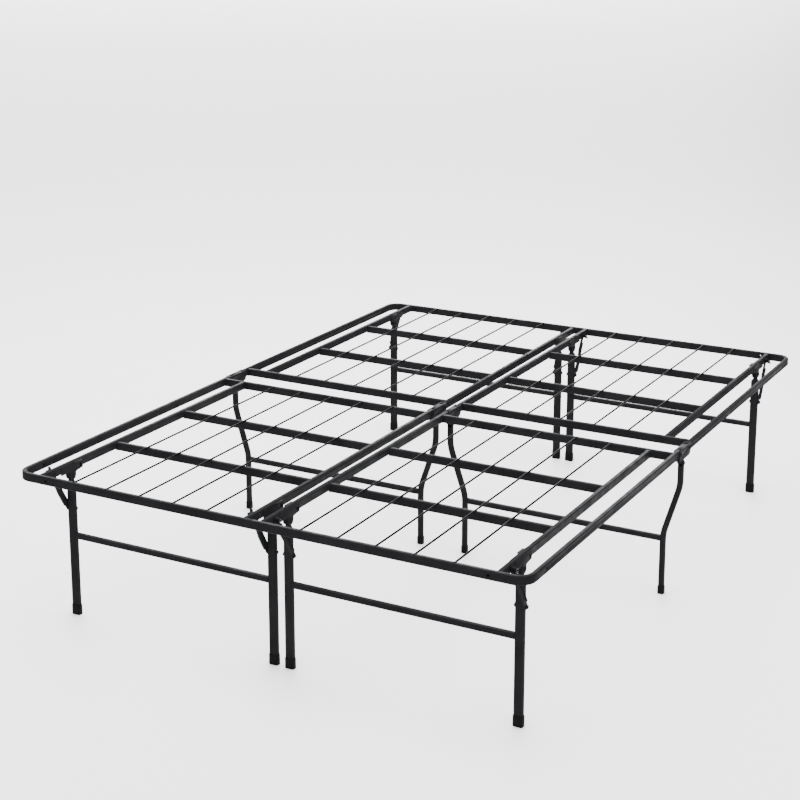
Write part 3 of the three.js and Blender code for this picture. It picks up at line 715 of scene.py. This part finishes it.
class BEDFRAME_OT_caps_and_nuts(bpy.types.Operator):
    """Finish the moulded foot caps and wing nuts"""

    bl_idname = "bedframe.caps_and_nuts"
    bl_label = "Foot Caps and Wing Nuts"

    def execute(self, context):
        caps = [f"{quarter}_{place}_foot_cap" for quarter in QUARTERS for place in PLACES]
        caps += [f"{side}_{place}_mid_foot_cap" for side in SIDES for place in PLACES]
        finish_nodes(caps, "moulded_plastic", CAP_ROUND, 3)
        nuts = [f"{quarter}_{place}_wing_nut" for quarter in QUARTERS for place in PLACES]
        finish_nodes(nuts, "moulded_plastic", NUT_ROUND, 3)
        return {"FINISHED"}


def bar_end(x, y, z, along, width, height):
    """The path of a weld round the sides and the underside of a bar's end."""
    # Shares of the bar's half height and half width at which the path starts and turns.
    top, corner_side, corner_under = 0.8, 0.86, 0.8
    half = width / 2
    across = Vector((0, 1, 0)) if along == "x" else Vector((1, 0, 0))
    centre = Vector((x, y, z))
    rise = Vector((0, 0, height / 2))
    return [
        centre - across * half + rise * top,
        centre - across * half - rise * corner_side,
        centre - across * half * corner_under - rise,
        centre + across * half * corner_under - rise,
        centre + across * half - rise * corner_side,
        centre + across * half + rise * top,
    ]


class BEDFRAME_OT_welds(bpy.types.Operator):
    """Run weld beads where the deck's bars and the crossbars meet"""

    bl_idname = "bedframe.welds"
    bl_label = "Welds"

    def deck_paths(self, way):
        """The weld paths of one half of the deck."""
        centre, stringer = leg_x("centre"), leg_x("outer")
        side_rail = middle("right_outer_link").x
        paths = []
        for hand in SIDES.values():
            for i in range(sizes().slat_count):
                y = way * (MID_BAR_Y + (i + 1) * slat_pitch())
                for x in (centre + HALF_RAIL, stringer - HALF_RAIL):
                    paths.append(bar_end(hand * x, y, SLAT_MIDDLE, "x", RAIL_WIDTH, RAIL_HEIGHT))
            for x in (centre + HALF_RAIL, side_rail - HALF_RAIL):
                paths.append(bar_end(hand * x, way * MID_BAR_Y, RAIL_MIDDLE, "x", RAIL_WIDTH, RAIL_HEIGHT))
            for x in (centre, stringer):
                y = way * (END_RAIL_Y - HALF_RAIL)
                paths.append(bar_end(hand * x, y, RAIL_MIDDLE, "y", RAIL_WIDTH, RAIL_HEIGHT))
            y = way * (MID_BAR_Y + HALF_RAIL)
            paths.append(bar_end(hand * stringer, y, RAIL_MIDDLE, "y", RAIL_WIDTH, RAIL_HEIGHT))
        return paths

    def execute(self, context):
        tree = tree_named("weld_beads", weld_beads_tree)
        inputs = {"Radius": sizes().weld_radius, "Pitch": sizes().weld_pitch}
        for end, way in ENDS.items():
            mesh = grown(tree, inputs, "powder_coat", path_mesh(self.deck_paths(way)))
            add_piece(f"{end}_deck_welds", mesh, f"{end}_deck")
        return {"FINISHED"}


class BEDFRAME_OT_fasteners(bpy.types.Operator):
    """Put threads on the strut studs"""

    bl_idname = "bedframe.fasteners"
    bl_label = "Fasteners"

    def execute(self, context):
        thread = tree_named("stud_thread", thread_tree)
        for end in ENDS:
            for side, hand in SIDES.items():
                places = []
                for place in PLACES:
                    spin = JOINTS[f"{end}_{side}_{place}_wing_nut_spin"]["pos_m"]
                    nut_low, nut_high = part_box(f"{end}_{side}_{place}_wing_nut")
                    start = (nut_high[0] if hand > 0 else nut_low[0]) - hand * THREAD_START
                    places.append((start, spin[1], spin[2]))
                mesh = grown(
                    thread,
                    {
                        "Radius": THREAD_RADIUS,
                        "Crest": THREAD_CREST,
                        "Pitch": sizes().thread_pitch,
                        "Count": THREAD_TURNS,
                        "Way": float(hand),
                    },
                    "blackened_steel",
                    point_mesh(places),
                )
                add_piece(f"{end}_{side}_stud_threads", mesh, f"{end}_deck")
        return {"FINISHED"}


class BEDFRAME_OT_stage(bpy.types.Operator):
    """Set up the floor, the lights and the camera"""

    bl_idname = "bedframe.stage"
    bl_label = "Studio"

    def floor(self):
        half = FLOOR_HALF
        mesh = bpy.data.meshes.new("floor")
        corners = [(-half, -half, 0), (half, -half, 0), (half, half, 0), (-half, half, 0)]
        mesh.from_pydata(corners, [], [(0, 1, 2, 3)])
        mesh.materials.append(finish("studio_floor"))
        floor = bpy.data.objects.new("floor", mesh)
        bpy.context.scene.collection.objects.link(floor)

    def softbox(self, name, place, target, width, height, power):
        """A rectangular lamp that faces a target."""
        light = bpy.data.lights.new(name, "AREA")
        light.shape = "RECTANGLE"
        light.size = width
        light.size_y = height
        light.energy = power
        lamp = bpy.data.objects.new(name, light)
        lamp.location = place
        lamp.rotation_mode = "QUATERNION"
        lamp.rotation_quaternion = (Vector(target) - Vector(place)).to_track_quat("-Z", "Y")
        bpy.context.scene.collection.objects.link(lamp)

    def camera(self):
        data = bpy.data.cameras.new("camera")
        data.sensor_width = 36.0
        data.lens = 77.69
        data.shift_y = -0.15
        data.clip_end = 200.0
        camera = bpy.data.objects.new("camera", data)
        camera.location = (2.0429, -3.99814, 1.84208)
        camera.rotation_euler = (math.radians(90 - 13.52), 0, math.radians(28.6))
        bpy.context.scene.collection.objects.link(camera)
        bpy.context.scene.camera = camera

    def execute(self, context):
        self.floor()
        world = bpy.data.worlds.new("studio")
        world.use_nodes = True
        background = world.node_tree.nodes["Background"]
        background.inputs["Color"].default_value = (1, 1, 1, 1)
        background.inputs["Strength"].default_value = 1.6
        context.scene.world = world
        self.softbox("overhead", (-0.5, 0.5, 4.6), (0, 0, 0), 5.0, 5.0, 720)
        self.softbox("backdrop", (-18.0, 26.0, 8.0), (0, 0, 0.4), 24.0, 8.0, 13000)
        self.softbox("window_side", (4.5, -2.5, 3.0), (0, 0, 0.3), 3.0, 2.5, 180)
        self.camera()
        return {"FINISHED"}


class BEDFRAME_PT_panel(bpy.types.Panel):
    """Lists the bed frame's operators"""

    bl_idname = "BEDFRAME_PT_panel"
    bl_label = "Bed Frame"
    bl_space_type = "VIEW_3D"
    bl_region_type = "UI"
    bl_category = "Bed Frame"

    def draw(self, context):
        layout = self.layout
        for group in (context.scene.bed_frame_sizes, context.scene.bed_frame_colours):
            column = layout.column(align=True)
            for key in group.__annotations__:
                column.prop(group, key)
        for operator in OPERATORS:
            layout.operator(operator.bl_idname)


OPERATORS = (
    BEDFRAME_OT_stage,
    BEDFRAME_OT_rails,
    BEDFRAME_OT_wire_panels,
    BEDFRAME_OT_legs,
    BEDFRAME_OT_caps_and_nuts,
    BEDFRAME_OT_welds,
    BEDFRAME_OT_fasteners,
)
CLASSES = (BedFrameSizes, BedFrameColours, *OPERATORS, BEDFRAME_PT_panel)


def register():
    for cls in CLASSES:
        bpy.utils.register_class(cls)
    bpy.types.Scene.bed_frame_sizes = bpy.props.PointerProperty(type=BedFrameSizes)
    bpy.types.Scene.bed_frame_colours = bpy.props.PointerProperty(type=BedFrameColours)


def unregister():
    del bpy.types.Scene.bed_frame_colours
    del bpy.types.Scene.bed_frame_sizes
    for cls in reversed(CLASSES):
        bpy.utils.unregister_class(cls)


def main():
    register()
    bpy.ops.bedframe.stage()
    bpy.ops.bedframe.rails()
    bpy.ops.bedframe.wire_panels()
    bpy.ops.bedframe.legs()
    bpy.ops.bedframe.caps_and_nuts()
    bpy.ops.bedframe.welds()
    bpy.ops.bedframe.fasteners()


if __name__ == "__main__":
    main()
